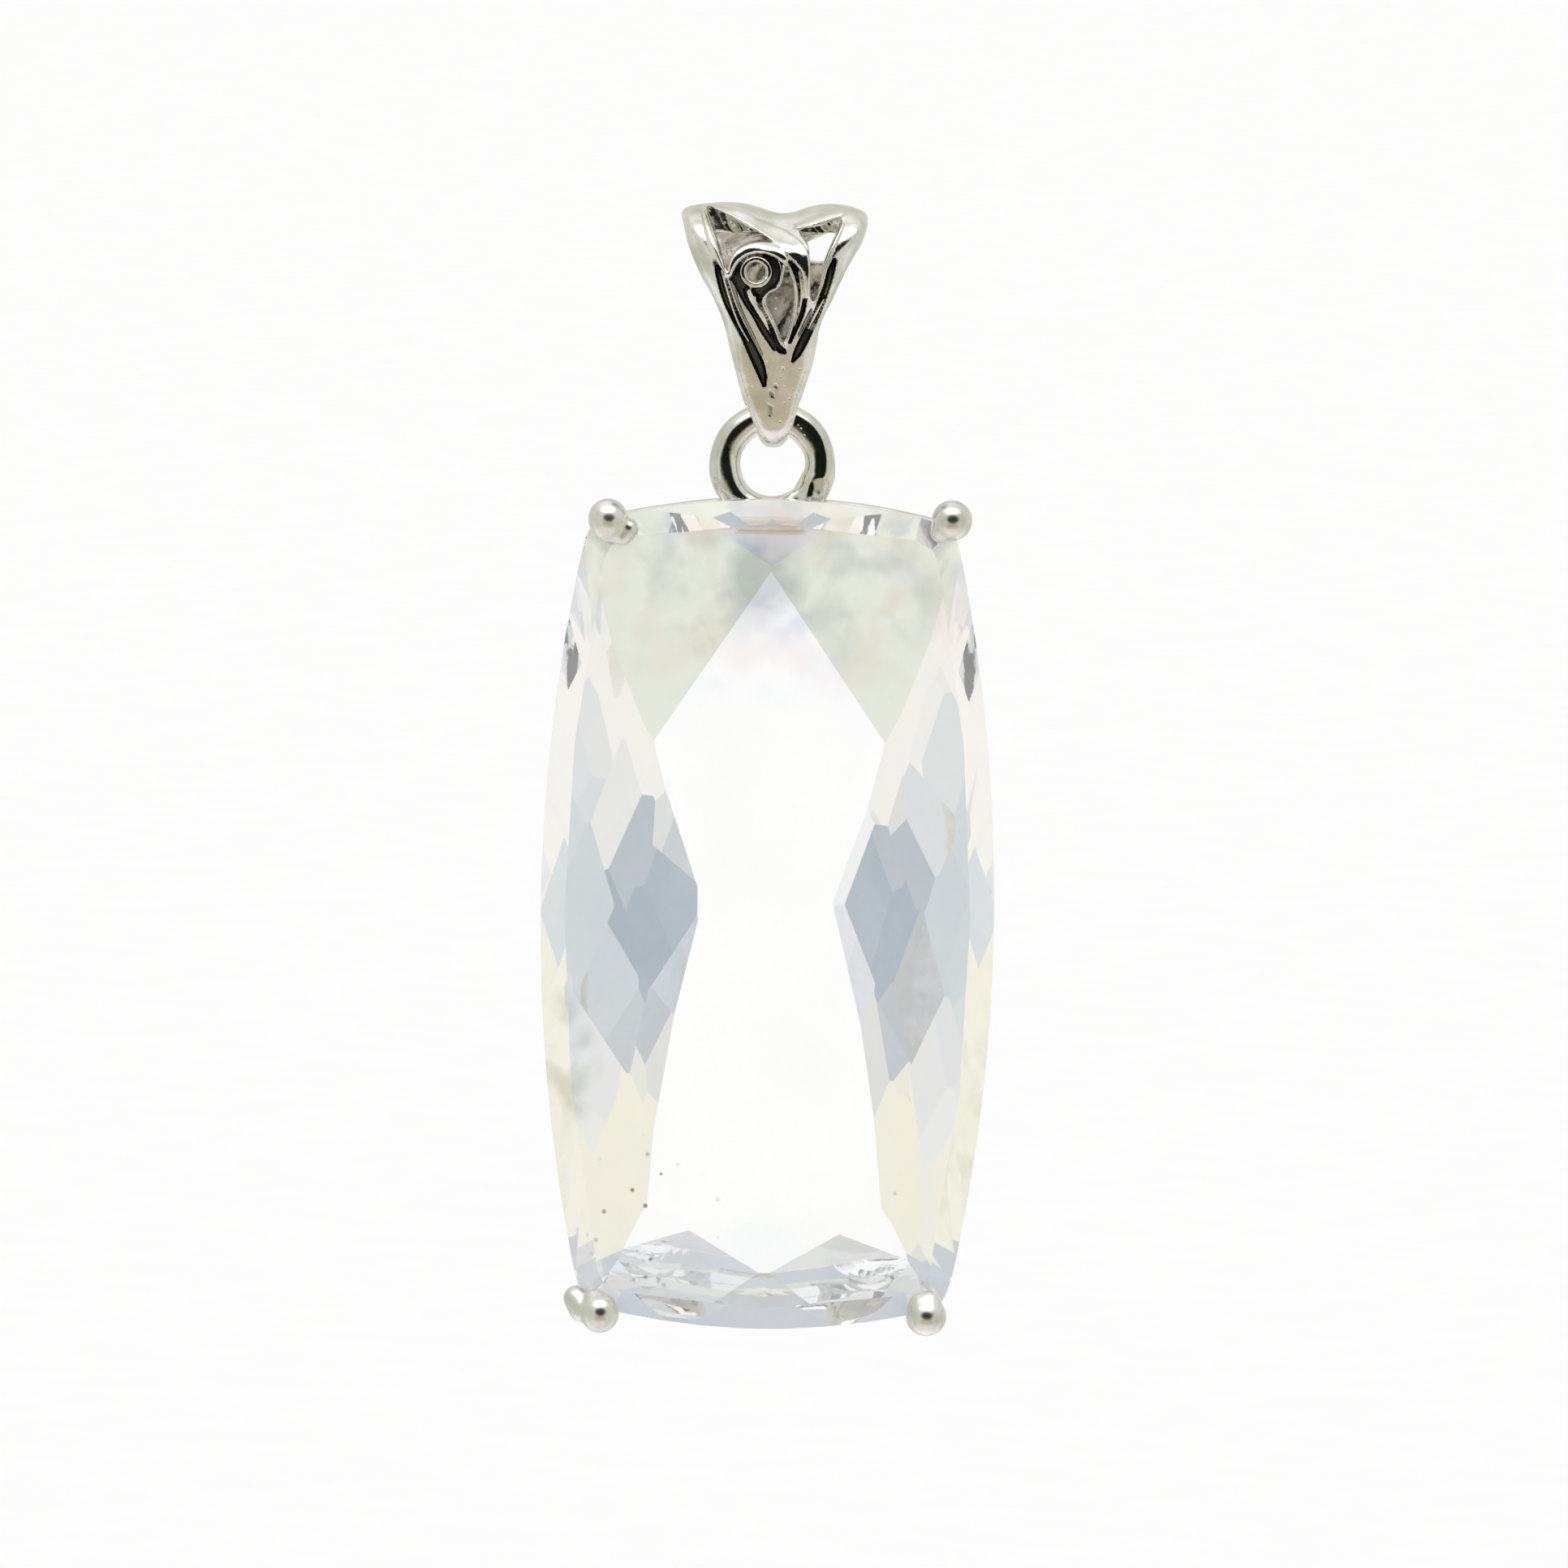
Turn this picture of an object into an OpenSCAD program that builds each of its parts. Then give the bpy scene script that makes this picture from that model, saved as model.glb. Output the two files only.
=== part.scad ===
// Quartz pendant: an openwork bail, a soldered setting with its ring, and a faceted stone.
// Millimetres, +Z up, the stone's table faces -Y. The origin is the seat inside the bail's crown.

/* [Bail] */
// Inside radius of the crown, where the chain runs
crown_in_r = 1.85; // [1.7:0.05:1.95]
// Wall of the crown and the two leaves
leaf_t = 0.85; // [0.8:0.05:0.95]
// Wall of the eye at the bottom
eye_t = 0.69; // [0.6:0.01:0.75]
// Depth of the engraved lines on the front leaf
engrave_d = 0.3; // [0.2:0.05:0.4]
// Outside radius of the small tube ring in the hook
tube_r = 0.61; // [0.55:0.01:0.65]
// Hole radius of the small tube ring
tube_hole_r = 0.32; // [0.25:0.01:0.36]

/* [Ring] */
// Outside radius of the ring
ring_r = 2.5; // [2.45:0.01:2.55]
// Radius of the ring's wire
ring_wire_r = 0.61; // [0.55:0.01:0.64]
// Height of the ring's top wire, which the bail hangs on
hinge_z = -7.35; // [-7.4:0.01:-7.3]

/* [Stone] */
// Width across the middle
stone_w = 18; // [17.6:0.1:18.4]
// Length from top to bottom
stone_l = 33.1; // [32.6:0.1:33.6]
// Radius that the long sides bow to
side_r = 70; // [65:1:80]
// Radius that the short ends bow to
end_r = 27; // [25:1:30]
// Radius of the corners
corner_r = 1.3; // [1.1:0.1:1.5]
// Thickness of the girdle, the plain edge
girdle_t = 0.5; // [0.4:0.05:0.6]
// Height of the table above the girdle
table_h = 0.6; // [0.5:0.05:0.8]
// Tilt of the narrow bevel round the table, in degrees
bevel_tilt = 30; // [26:1:34]
// Distance along a long side between the facets of one row
side_step = 7; // [6.6:0.1:7.4]
// Distance across the top end between the facets of one row
end_step = 5.6; // [5.2:0.1:6]
// Distance across the lower end between the facets of one row
low_step = 6.8; // [6.6:0.1:7]
// How far off its row a facet's tilt may be, in degrees
cut_play = 0.9; // [0:0.1:1.2]
// Height of the stone's top edge
stone_top = -10.52; // [-10.56:0.01:-10.48]
// Place of the girdle's back edge, in front of the ring's middle
girdle_back = -0.95; // [-1.1:0.01:-0.9]

/* [Setting] */
// Radius of the ball tips
ball_r = 0.8; // [0.7:0.05:0.85]
// Radius of the prongs' wire
prong_r = 0.38; // [0.36:0.02:0.42]
// Width of the gallery rail, a flat strip that follows the stone's outline
rail_w = 0.6; // [0.5:0.05:0.65]
// Height of the gallery rail
rail_h = 0.7; // [0.6:0.05:0.8]
// How far the rail's outer edge lies inside the stone's outline
rail_in = 0.05; // [0.02:0.01:0.08]
// How far the rail's front lies behind the girdle
rail_back = 1.2; // [1.15:0.05:1.25]

/* [Hidden] */
$fn = 48;
silver = [0.80, 0.80, 0.78];
quartz = [0.90, 0.93, 0.96, 0.6];
gap = 0.1;
half_w = stone_w / 2;
half_l = stone_l / 2;
stone_z = stone_top - half_l;
girdle_y = girdle_back - girdle_t / 2;
ring_mid_r = ring_r - ring_wire_r;
ring_z = hinge_z - ring_mid_r;

// Bail. The leaves' side view is a teardrop between a crown circle and an eye circle.
crown_out_r = crown_in_r + leaf_t;
crown_in_z = -crown_in_r;
crown_out_z = -1.5;
eye_in_r = ring_wire_r + gap;
eye_out_r = eye_in_r + eye_t;
arc_steps = 14;
reach = 10;
crest_y = 0.35;
groove_w = 0.36;

// Front view, as [x, z] from the crown's saddle round the right side down to the tip.
bail_half = [[0, 0.8], [1.2, 0.88], [2.2, 1.1], [3.0, 1.17], [3.5, 0.95], [3.58, 0.45],
             [2.95, -1.6], [1.98, -3.65], [1.5, -5.3], [1.06, -6.7], [0.86, -7.6], [0.45, -8.5]];
// Openings in the front leaf, and the one behind the right-hand one.
left_window = [[-2.65, 0.95], [-1.4, 0.6], [-0.1, -0.1], [-0.6, -0.2], [-1.5, -0.55],
               [-1.85, -1.35], [-2.1, -1.2], [-2.35, -0.2]];
right_window = [[0.8, 0.2], [1.6, 0.5], [2.5, 0.8], [2.65, 0.55], [2.3, -0.15], [1.95, -0.7],
                [1.75, -1.4], [1.6, -2.55], [1.4, -2.3], [1.35, -1.35], [1.25, -0.6]];
drop_window = [[0.42, -1.0], [0.7, -1.75], [0.78, -2.35], [0.6, -3.35], [0.42, -4.1],
               [0.18, -3.75], [-0.1, -2.9], [-0.28, -2.4], [0.1, -1.9], [0.36, -1.5]];
back_window = [[2.35, -0.1], [1.3, -0.65], [1.3, -2.5], [1.6, -2.7], [2.1, -1.6]];
tube_at = [-0.71, -1.39];
// Engraved lines, as [x, z] from end to end.
engraved = [[[-2.5, -1.1], [-1.5, -3.4], [-0.45, -6.0]],
            [[2.45, -0.9], [1.5, -3.2], [0.72, -4.85]],
            [[-1.55, -2.0], [-0.6, -3.1], [0.1, -4.3]]];
tube_moat_w = 0.3;

// Points of a smooth curve that passes through the given points.
function spline(p0, p1, p2, p3, t) =
    0.5 * (2 * p1 + (p2 - p0) * t + (2 * p0 - 5 * p1 + 4 * p2 - p3) * t * t
           + (3 * p1 - p0 - 3 * p2 + p3) * t * t * t);
function closed_curve(p, n = 3) =
    [for (i = [0:len(p) - 1], k = [0:n - 1])
        spline(p[(i + len(p) - 1) % len(p)], p[i], p[(i + 1) % len(p)], p[(i + 2) % len(p)], k / n)];
function arc(r, from, to, n, c = [0, 0]) =
    [for (i = [0:n]) c + r * [cos(from + (to - from) * i / n), sin(from + (to - from) * i / n)]];
function teardrop(r_top, z_top, r_low, z_low) =
    let (lean = asin((r_top - r_low) / (z_top - z_low)))
    concat(arc(r_top, -lean, 180 + lean, arc_steps, [0, z_top]),
           arc(r_low, 180 + lean, 360 - lean, arc_steps, [0, z_low]));

module along_x(width) rotate([90, 0, 90]) linear_extrude(width, center = true) children();
module along_y(from, to) translate([0, to, 0]) rotate([90, 0, 0]) linear_extrude(to - from) children();

module loop_solid(less = 0)
    along_x(reach) polygon(teardrop(crown_out_r - less, crown_out_z, eye_out_r - less, hinge_z));

module front_outline() {
    left = [for (i = [len(bail_half) - 1:-1:1]) [-bail_half[i].x, bail_half[i].y]];
    polygon(closed_curve(concat(bail_half, left), 2));
}

module line_2d(p) {
    for (i = [0:len(p) - 2]) {
        run = p[i + 1] - p[i];
        translate(p[i]) rotate(atan2(run.y, run.x)) translate([0, -groove_w / 2])
            square([norm(run), groove_w]);
        translate(p[i + 1]) circle(groove_w / 2, $fn = 16);
    }
    translate(p[0]) circle(groove_w / 2, $fn = 16);
}

// The eye is hollowed to the ring's own round, so that the ring can swing in it.
module ring_sweep()
    rotate([0, 90, 0]) rotate_extrude() difference() {
        translate([0, -1.05]) square([eye_out_r, 2.1]);
        translate([ring_mid_r, 0]) circle(ring_mid_r - ring_wire_r - gap);
    }

module engraving()
    difference() {
        along_y(-reach, -crest_y) {
            for (p = engraved) line_2d(p);
            translate(tube_at) circle(tube_r + tube_moat_w);
        }
        loop_solid(engrave_d);
        translate([tube_at.x, 0, tube_at.y]) rotate([90, 0, 0]) cylinder(r = tube_r, h = reach);
    }

module bail()
    color(silver)
    difference() {
        intersection() {
            loop_solid();
            along_y(-reach, reach) front_outline();
        }
        along_x(reach + 1) polygon(teardrop(crown_in_r, crown_in_z, eye_in_r, hinge_z));
        along_y(-reach, -crest_y) {
            polygon(closed_curve(left_window));
            polygon(closed_curve(right_window));
            polygon(closed_curve(drop_window));
        }
        along_y(crest_y, reach) polygon(closed_curve(back_window));
        translate([tube_at.x, 0, tube_at.y]) rotate([90, 0, 0]) cylinder(r = tube_hole_r, h = reach);
        translate([0, 0, hinge_z]) ring_sweep();
        engraving();
    }

// Stone. It is worked out lying down: x across, y along, z out of the table.
big = 80;
side_at = [half_w - side_r, 0];
end_at = [0, half_l - end_r];
corner_at =
    let (apart = end_at - side_at, d = norm(apart), u = apart / d,
         ra = side_r - corner_r, rb = end_r - corner_r,
         along = (ra * ra - rb * rb + d * d) / (2 * d))
    side_at + along * u + sqrt(ra * ra - along * along) * [-u.y, u.x];
side_turn = asin(corner_at.y / (side_r - corner_r));
end_turn = acos(corner_at.x / (end_r - corner_r));

// Facet rows of the pavilion, as [distance in from the edge, tilt]. The long sides are a net of
// lozenges. The top end has short rows, and the bottom end's second row makes two tall kites.
side_rows = [[0.3, 54], [1.7, 50.5], [3.1, 47], [4.5, 43.5], [5.9, 40.5], [7.3, 35]];
top_rows = [[0.3, 46], [1.3, 38]];
low_rows = [[0.3, 50], [1.9, 45], [3.5, 38]];
corner_rows = [[0.3, 50]];
// Two large facets that slant from the top corners, and the way that each faces.
slant_rows = [[0, 27.85]];
slant_faces = 65;
// The two broad facets of the middle, as [end, depth behind the girdle at the middle, tilt].
middles = [[1, 7, 18.3], [-1, 7, 14]];
bevel_rows = [[0.15, bevel_tilt]];

// Where one quarter's facets touch the outline, as [part of the outline, place]: sides by height,
// ends by distance across, corners by the angle that they face. Rows take turns with the two lists.
side_places = [[["side", side_step / 2], ["side", 1.5 * side_step]],
               [["side", 0], ["side", side_step], ["side", 2 * side_step]]];
end_places = [[["end", end_step / 2]], [["end", 0], ["end", end_step]]];
low_places = [[["end", 0], ["end", low_step]], [["end", low_step / 2]]];
corner_places = [[["corner", 28], ["corner", 62]]];
slant_places = [[["corner", slant_faces]]];
bevel_places = [concat(side_places[0], end_places[0], corner_places[0])];

// A place on the outline and the way that it faces, as [x, y, angle].
function on_arc(c, r, a) = [c.x + r * cos(a), c.y + r * sin(a), a];
function place(p) =
    p[0] == "side" ? on_arc(side_at, side_r, asin(p[1] / side_r))
    : p[0] == "end" ? on_arc(end_at, end_r, acos(p[1] / end_r))
    : on_arc(corner_at, corner_r, p[1]);
// The same places in all four quarters, without those that fall on each other.
function four_fold(places) =
    [for (p = places, sx = [1, -1], sy = [1, -1])
        let (q = place(p))
        if ((sx > 0 || q.x > 0.001) && (sy > 0 || q.y > 0.001))
            [sx * q.x, sy * q.y, sx * cos(q[2]), sy * sin(q[2])]];
// Depth that the rows have reached by row i.
function depth(rows, i) =
    i == 0 ? rows[0][0] * tan(rows[0][1])
    : depth(rows, i - 1) + (rows[i][0] - rows[i - 1][0]) * (tan(rows[i - 1][1]) + tan(rows[i][1])) / 2;
// The cutter's hand: how far a facet's tilt is off its row's. The row at the girdle is true.
function play(i, k) = i == 0 ? 0 : cut_play * sin(97 * k + 61 * i);

// Everything on the inner side of a plane, given by its outward normal and its distance.
module under_plane(n, d)
    rotate([0, acos(n.z / norm(n)), atan2(n.y, n.x)])
        translate([-big / 2, -big / 2, d / norm(n) - big]) cube(big);

// The plane of the facet of row i at place q, as [outward normal, distance].
function facet(rows, i, q, up, off = 0) =
    let (far = q.x * q[2] + q.y * q[3], steep = tan(rows[i][1] + off))
    [[steep * q[2], steep * q[3], up], girdle_t / 2 + depth(rows, i) + steep * (far - rows[i][0])];
// The planes of some rows, all round, or at one end only where end is 1 or -1.
function facets(rows, places, up, end = 0) =
    [for (i = [0:len(rows) - 1])
        let (at = four_fold(places[i % 2]))
        for (k = [0:len(at) - 1])
            if (end * at[k][3] >= 0) facet(rows, i, at[k], up, play(i, k))];

// The stone's outline, or one that runs inside it at an even distance.
function steps_on(c, r, from, to, n) = [for (i = [0:n - 1]) on_arc(c, r, from + (to - from) * (i + 0.5) / n)];
function quarter(inset) = concat(
    steps_on(side_at, side_r - inset, 0, side_turn, 6),
    steps_on(corner_at, corner_r - inset, side_turn, end_turn, 4),
    steps_on(end_at, end_r - inset, end_turn, 90, 4));
function flipped(p, sx, sy) = [for (q = p) [sx * q.x, sy * q.y]];
function reversed(p) = [for (i = [len(p) - 1:-1:0]) p[i]];
function outline(inset = 0) =
    let (p = quarter(inset))
    concat(flipped(p, 1, 1), reversed(flipped(p, -1, 1)), flipped(p, -1, -1), reversed(flipped(p, 1, -1)));

module upright() translate([0, girdle_y, stone_z]) rotate([90, 0, 0]) children();

// The block comes first, and each facet's plane then cuts it.
cuts = concat(
    facets(side_rows, side_places, -1),
    facets(top_rows, end_places, -1, 1),
    facets(low_rows, low_places, -1, -1),
    facets(corner_rows, corner_places, -1),
    facets(slant_rows, slant_places, -1, 1),
    [for (m = middles) [[0, m[0] * tan(m[2]), -1], girdle_t / 2 + m[1]]],
    facets(bevel_rows, bevel_places, 1));
module stone()
    color(quartz) upright()
    intersection_for (i = [0:len(cuts)])
        if (i == 0)
            translate([0, 0, -big / 2]) linear_extrude(big / 2 + girdle_t / 2 + table_h) polygon(outline());
        else
            under_plane(cuts[i - 1][0], cuts[i - 1][1]);

// Setting. Each prong leaves the rail's corner, passes outside the stone and ends in a ball.
// Prongs, as [side, end, angle that the prong stands at, ball's distance outside the outline].
prongs = [[1, 1, 55, 0.4], [-1, 1, 76, 0.2], [1, -1, 76, 0.2], [-1, -1, 76, 0.2]];
prong_out = prong_r + 1.6 * gap;
ball_z = girdle_t / 2 + ball_r + gap;
rail_z = -girdle_t / 2 - rail_back - rail_h;
leg_z = rail_z + rail_h / 2;
leg_r = rail_h / 2 - 0.05;
knee_r = prong_r + 0.1;

module rail()
    translate([0, 0, rail_z]) linear_extrude(rail_h) difference() {
        polygon(outline(rail_in));
        polygon(outline(rail_in + rail_w));
    }

module rod(a, b, r) {
    run = b - a;
    translate(a) rotate([0, acos(run.z / norm(run)), atan2(run.y, run.x)]) cylinder(r = r, h = norm(run));
}

module prong(angle, ball_out) {
    facing = [cos(angle), sin(angle)];
    root = corner_at + (corner_r - rail_in - rail_w / 2) * facing;
    knee = corner_at + (corner_r + prong_out) * facing;
    ball = corner_at + (corner_r + ball_out) * facing;
    rod([root.x, root.y, leg_z], [knee.x, knee.y, leg_z], leg_r);
    translate([knee.x, knee.y, leg_z]) sphere(knee_r);
    translate([knee.x, knee.y, leg_z]) cylinder(r = prong_r, h = ball_z - leg_z);
    translate([ball.x, ball.y, ball_z]) sphere(ball_r);
}

// The ring is filed flat where it passes behind the stone's top end.
module ring()
    difference() {
        translate([0, 0, ring_z]) rotate([90, 0, 0])
            rotate_extrude() translate([ring_mid_r, 0]) circle(ring_wire_r);
        upright() intersection_for (q = [for (q = four_fold(end_places[0])) if (q.y > 0) q]) {
            f = facet(top_rows, 0, q, -1);
            under_plane(f[0], f[1] + gap * norm(f[0]));
        }
    }

module setting()
    color(silver) {
        ring();
        upright() {
            rail();
            for (p = prongs)
                mirror([p[0] < 0 ? 1 : 0, 0, 0]) mirror([0, p[1] < 0 ? 1 : 0, 0]) prong(p[2], p[3]);
        }
    }

bail();
setting();
stone();
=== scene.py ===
"""Quartz pendant: a cast silver bail, a soldered silver setting with its ring, and a faceted milky quartz.

Lengths are written in millimetres and turned to metres when a mesh is made. X is across the pendant,
Z is up, and the stone's table faces -Y. The origin is where a chain sits inside the bail's crown.
"""
import math

import bpy
import numpy as np
import openvdb
from mathutils import Euler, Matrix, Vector


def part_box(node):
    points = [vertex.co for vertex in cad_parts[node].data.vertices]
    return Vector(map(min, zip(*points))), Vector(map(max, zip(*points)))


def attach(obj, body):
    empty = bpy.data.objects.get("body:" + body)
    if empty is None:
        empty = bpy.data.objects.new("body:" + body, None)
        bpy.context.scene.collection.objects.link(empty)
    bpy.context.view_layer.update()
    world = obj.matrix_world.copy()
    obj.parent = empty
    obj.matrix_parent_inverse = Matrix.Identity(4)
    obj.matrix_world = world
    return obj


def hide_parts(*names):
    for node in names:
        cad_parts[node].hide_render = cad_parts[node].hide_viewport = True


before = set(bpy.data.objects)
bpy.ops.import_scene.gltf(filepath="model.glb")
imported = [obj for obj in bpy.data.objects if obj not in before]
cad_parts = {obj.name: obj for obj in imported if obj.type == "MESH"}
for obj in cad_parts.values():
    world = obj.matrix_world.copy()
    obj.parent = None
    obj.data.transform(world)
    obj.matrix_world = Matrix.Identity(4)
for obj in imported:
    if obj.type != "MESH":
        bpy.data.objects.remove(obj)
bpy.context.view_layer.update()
MM = 0.001

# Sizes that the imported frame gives
stone_low, stone_high = (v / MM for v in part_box("stone"))
STONE_Z = (stone_low.z + stone_high.z) / 2
HALF_W = (stone_high.x - stone_low.x) / 2
HALF_L = (stone_high.z - stone_low.z) / 2

# The bail seen from the side: the circles of its crown and of the eye below, outside and inside
CROWN_R = 2.7
CROWN_Z = -1.5
CROWN_IN_R = 1.85
EYE_R = 1.4
EYE_IN_R = 0.71
HINGE_Z = -7.35
# The soldered ring, and the play round its wire and over the girdle
WIRE_R = 0.61
RING_MID_R = 1.89
RING_Z = HINGE_Z - RING_MID_R
PLAY = 0.1
# The stone's girdle, and the arcs that its outline is made of
GIRDLE_Y = -1.2
GIRDLE_HALF = 0.25
SIDE_R = 70.0
END_R = 27.0
CORNER_R = 1.3


# Solids are written as fields: below zero inside the metal, above zero outside it.
def joined(a, b, fillet):
    """Both solids together, with a fillet of solder or casting where they meet."""
    near = np.clip(fillet - np.abs(a - b), 0, None)
    return np.minimum(a, b) - near * near / (4 * fillet)


def trimmed(a, b, edge):
    """What two solids share, with the edge between them rounded over."""
    return -joined(-a, -b, edge)


def ramp(value, low, high):
    """0 below low, 1 above high and smooth between."""
    t = np.clip((value - low) / (high - low), 0, 1)
    return t * t * (3 - 2 * t)


def curve_through(rows, steps=4, closed=False):
    """Points of a smooth curve through the rows; columns after the first two are carried along."""
    rows = np.array(rows, float)
    if closed:
        rows = np.vstack([rows[-1:], rows, rows[:2]])
    else:
        rows = np.vstack([2 * rows[0] - rows[1], rows, 2 * rows[-1] - rows[-2]])
    points = []
    for a, b, c, d in zip(rows, rows[1:], rows[2:], rows[3:]):
        for t in np.arange(steps) / steps:
            bend = (2 * a - 5 * b + 4 * c - d) * t * t + (3 * b - a - 3 * c + d) * t ** 3
            points.append(0.5 * (2 * b + (c - a) * t + bend))
    if not closed:
        points.append(rows[-2])
    return np.array(points)


def beside(x, z, line):
    """How far a place lies from each stretch of a line of x, z, half-width, and the half-width there."""
    for a, b in zip(line, line[1:]):
        run = b - a
        t = np.clip(((x - a[0]) * run[0] + (z - a[1]) * run[1]) / (run[0] ** 2 + run[1] ** 2), 0, 1)
        yield np.hypot(x - a[0] - t * run[0], z - a[1] - t * run[1]), a[2] + t * run[2]


def across(x, z, line):
    """How far a place lies across a line: 0 on its middle, 1 at its edge."""
    least = np.inf
    for off, half_width in beside(x, z, line):
        least = np.minimum(least, off / half_width)
    return least


def within(x, z, line, ridge):
    """How far a place lies inside a line's edges, rounded along the middle; below zero outside them."""
    most = -np.inf
    for off, half_width in beside(x, z, line):
        most = np.maximum(most, half_width - np.hypot(off, ridge) + ridge)
    return most


def from_outline(x, z, outline):
    """Distance from a closed outline, below zero inside it."""
    near = np.inf
    inside = np.zeros(np.broadcast(x, z).shape, bool)
    for a, b in zip(outline, np.roll(outline, -1, axis=0)):
        run = b - a
        t = np.clip(((x - a[0]) * run[0] + (z - a[1]) * run[1]) / run.dot(run), 0, 1)
        near = np.minimum(near, (x - a[0] - t * run[0]) ** 2 + (z - a[1] - t * run[1]) ** 2)
        if a[1] != b[1]:
            inside ^= ((a[1] > z) != (b[1] > z)) & (x < a[0] + (z - a[1]) * run[0] / run[1])
    return np.where(inside, -1.0, 1.0) * np.sqrt(near)


def unevenness(x, y, z, grain, seed):
    """A smooth hand-finished unevenness between about -1 and 1, with bumps about grain wide."""
    total = 0
    # Four waves, each running another way
    for k in range(4):
        turn = seed + 2.4 * k
        slope = 0.8 * math.sin(1.7 * turn)
        way = (math.cos(turn) * math.cos(slope), math.sin(turn) * math.cos(slope), math.sin(slope))
        total = total + np.sin((way[0] * x + way[1] * y + way[2] * z) * math.pi / grain + 3.1 * turn)
    return total / 4


# Bail. Its side view is a teardrop, and the front leaf is worked in the front view.
BAIL_OUTLINE = curve_through([
    (0.2, 1.6), (1.6, 1.6), (2.6, 1.4), (3.3, 1.05), (3.66, 0.62), (3.52, -0.1), (3.22, -0.8), (2.9, -1.45),
    (2.4, -2.65), (1.85, -3.85), (1.54, -5.15), (1.12, -6.5), (0.86, -7.5), (0.45, -8.4), (0.02, -8.62),
    (-0.42, -8.4), (-0.8, -7.5), (-1.22, -6.5), (-1.63, -4.95), (-2.12, -3.5), (-2.68, -2.3), (-3.08, -1.5),
    (-3.36, -0.75), (-3.6, 0.25), (-3.72, 0.72), (-3.5, 1.05), (-2.8, 1.35), (-1.6, 1.6)], 3, closed=True)
LEFT_WINDOW = curve_through([
    (-2.7, 0.98), (-2.3, 0.92), (-1.75, 0.68), (-1.05, 0.3), (-0.5, 0.02), (-0.1, -0.25), (-0.6, -0.24),
    (-1.15, -0.36), (-1.58, -0.65), (-1.78, -1.05), (-1.86, -1.4), (-2.02, -1.0), (-2.2, -0.4), (-2.47, 0.3)],
    3, closed=True)
RIGHT_WINDOW = curve_through([
    (0.98, 0.18), (1.8, 0.38), (2.5, 0.66), (2.58, 0.4), (2.28, -0.2), (2.03, -0.75), (1.87, -1.25),
    (1.78, -1.85), (1.64, -2.45), (1.5, -2.55), (1.42, -2.2), (1.42, -1.5), (1.38, -0.9), (1.3, -0.35)],
    3, closed=True)
DROP_WINDOW = curve_through([
    (0.45, -1.15), (0.62, -1.5), (0.76, -1.95), (0.79, -2.45), (0.73, -3.05), (0.6, -3.6), (0.4, -4.2),
    (0.22, -3.85), (0.03, -3.4), (-0.2, -2.95), (-0.33, -2.6), (-0.23, -2.3), (0.1, -2.12), (0.3, -1.8)],
    3, closed=True)
BACK_WINDOW = curve_through([
    (2.5, 0.0), (1.75, -0.28), (1.2, -0.6), (1.2, -1.1), (1.6, -1.3), (2.1, -1.15)], 3, closed=True)
# The small tube ring in the hook: its place, radii and height, how its rim rounds over and its wall falls,
# and the cut round it
TUBE_X, TUBE_Z = -0.73, -1.42
TUBE_R, TUBE_RIM_R, TUBE_HOLE_R, TUBE_HIGH = 0.61, 0.53, 0.38, 0.05
RIM_FLAT, RIM_ROUND, TUBE_WALL = 0.04, 9, 6
MOAT_R, MOAT_DEEP = 0.98, 0.42

# Bands on the front leaf, steep at the edges with a low ridge on top: the top's slope, and rows of x, z,
# half-width.
BANDS = {
    "hook": (0.22, [(-1.84, -1.5, 0.12), (-1.72, -1.1, 0.17), (-1.48, -0.76, 0.2), (-1.12, -0.5, 0.22),
                    (-0.7, -0.4, 0.23), (-0.28, -0.42, 0.24), (0.1, -0.58, 0.23), (0.38, -0.86, 0.14)]),
    "sweep": (0.15, [(-2.35, 1.02, 0.12), (-1.45, 0.76, 0.17), (-0.75, 0.4, 0.2), (-0.2, 0.12, 0.25),
                    (0.35, -0.18, 0.32), (0.8, -0.52, 0.35), (1.12, -0.95, 0.28), (1.26, -1.4, 0.17),
                    (1.34, -2.35, 0.1)]),
    "crown bar": (0.4, [(0.88, 0.32, 0.1), (1.4, 0.48, 0.16), (2.0, 0.68, 0.16), (2.62, 0.86, 0.12)]),
}
# A band's height at its edge, how steep it rises to there and from the cuts below, and its ridge's rounding
BAND_EDGE, BAND_STEEP, BAND_WALL, BAND_RIDGE = 0.08, 1.3, 3.0, 0.05
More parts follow.
